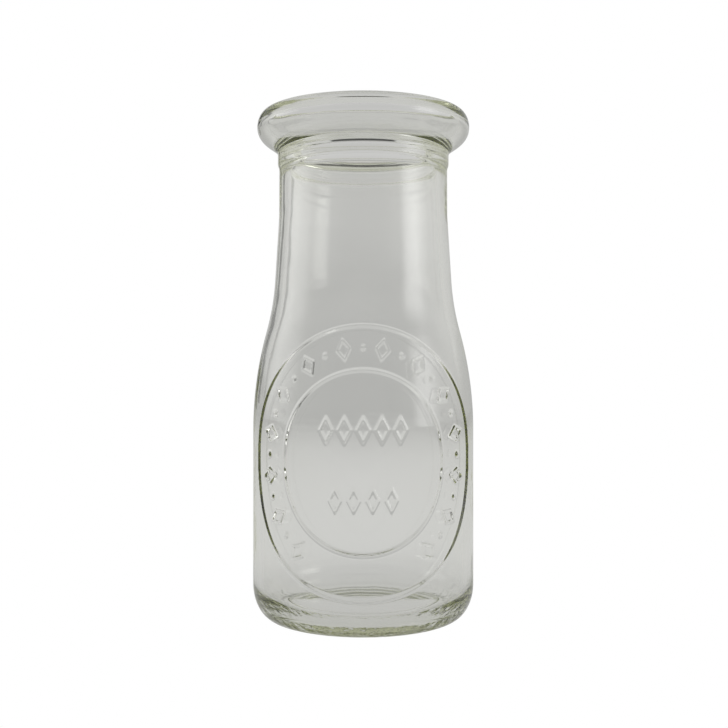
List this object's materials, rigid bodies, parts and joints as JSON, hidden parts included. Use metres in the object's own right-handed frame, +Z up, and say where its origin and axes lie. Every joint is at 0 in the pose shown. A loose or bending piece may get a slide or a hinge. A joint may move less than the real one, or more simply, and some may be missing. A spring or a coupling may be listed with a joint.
{
  "type": "glass milk bottle",
  "caption": "Open half-pint milk bottle of clear moulded glass: wide rounded lip, narrow throat, sloping shoulder and a raised round medallion on the front.",
  "frame": {"origin": "centre of the standing ring, on the surface that the bottle stands on", "axes": "+Z up along the bottle's centre line, -Y towards the front, where the medallion is, +X to the right seen from the front"},
  "size_m": [0.061, 0.0615, 0.1397],
  "materials": {
    "clear_glass": "clear, smooth moulded, faint green tint"
  },
  "bodies": {
    "root": {"bottle": "clear_glass"}
  },
  "joints": []
}
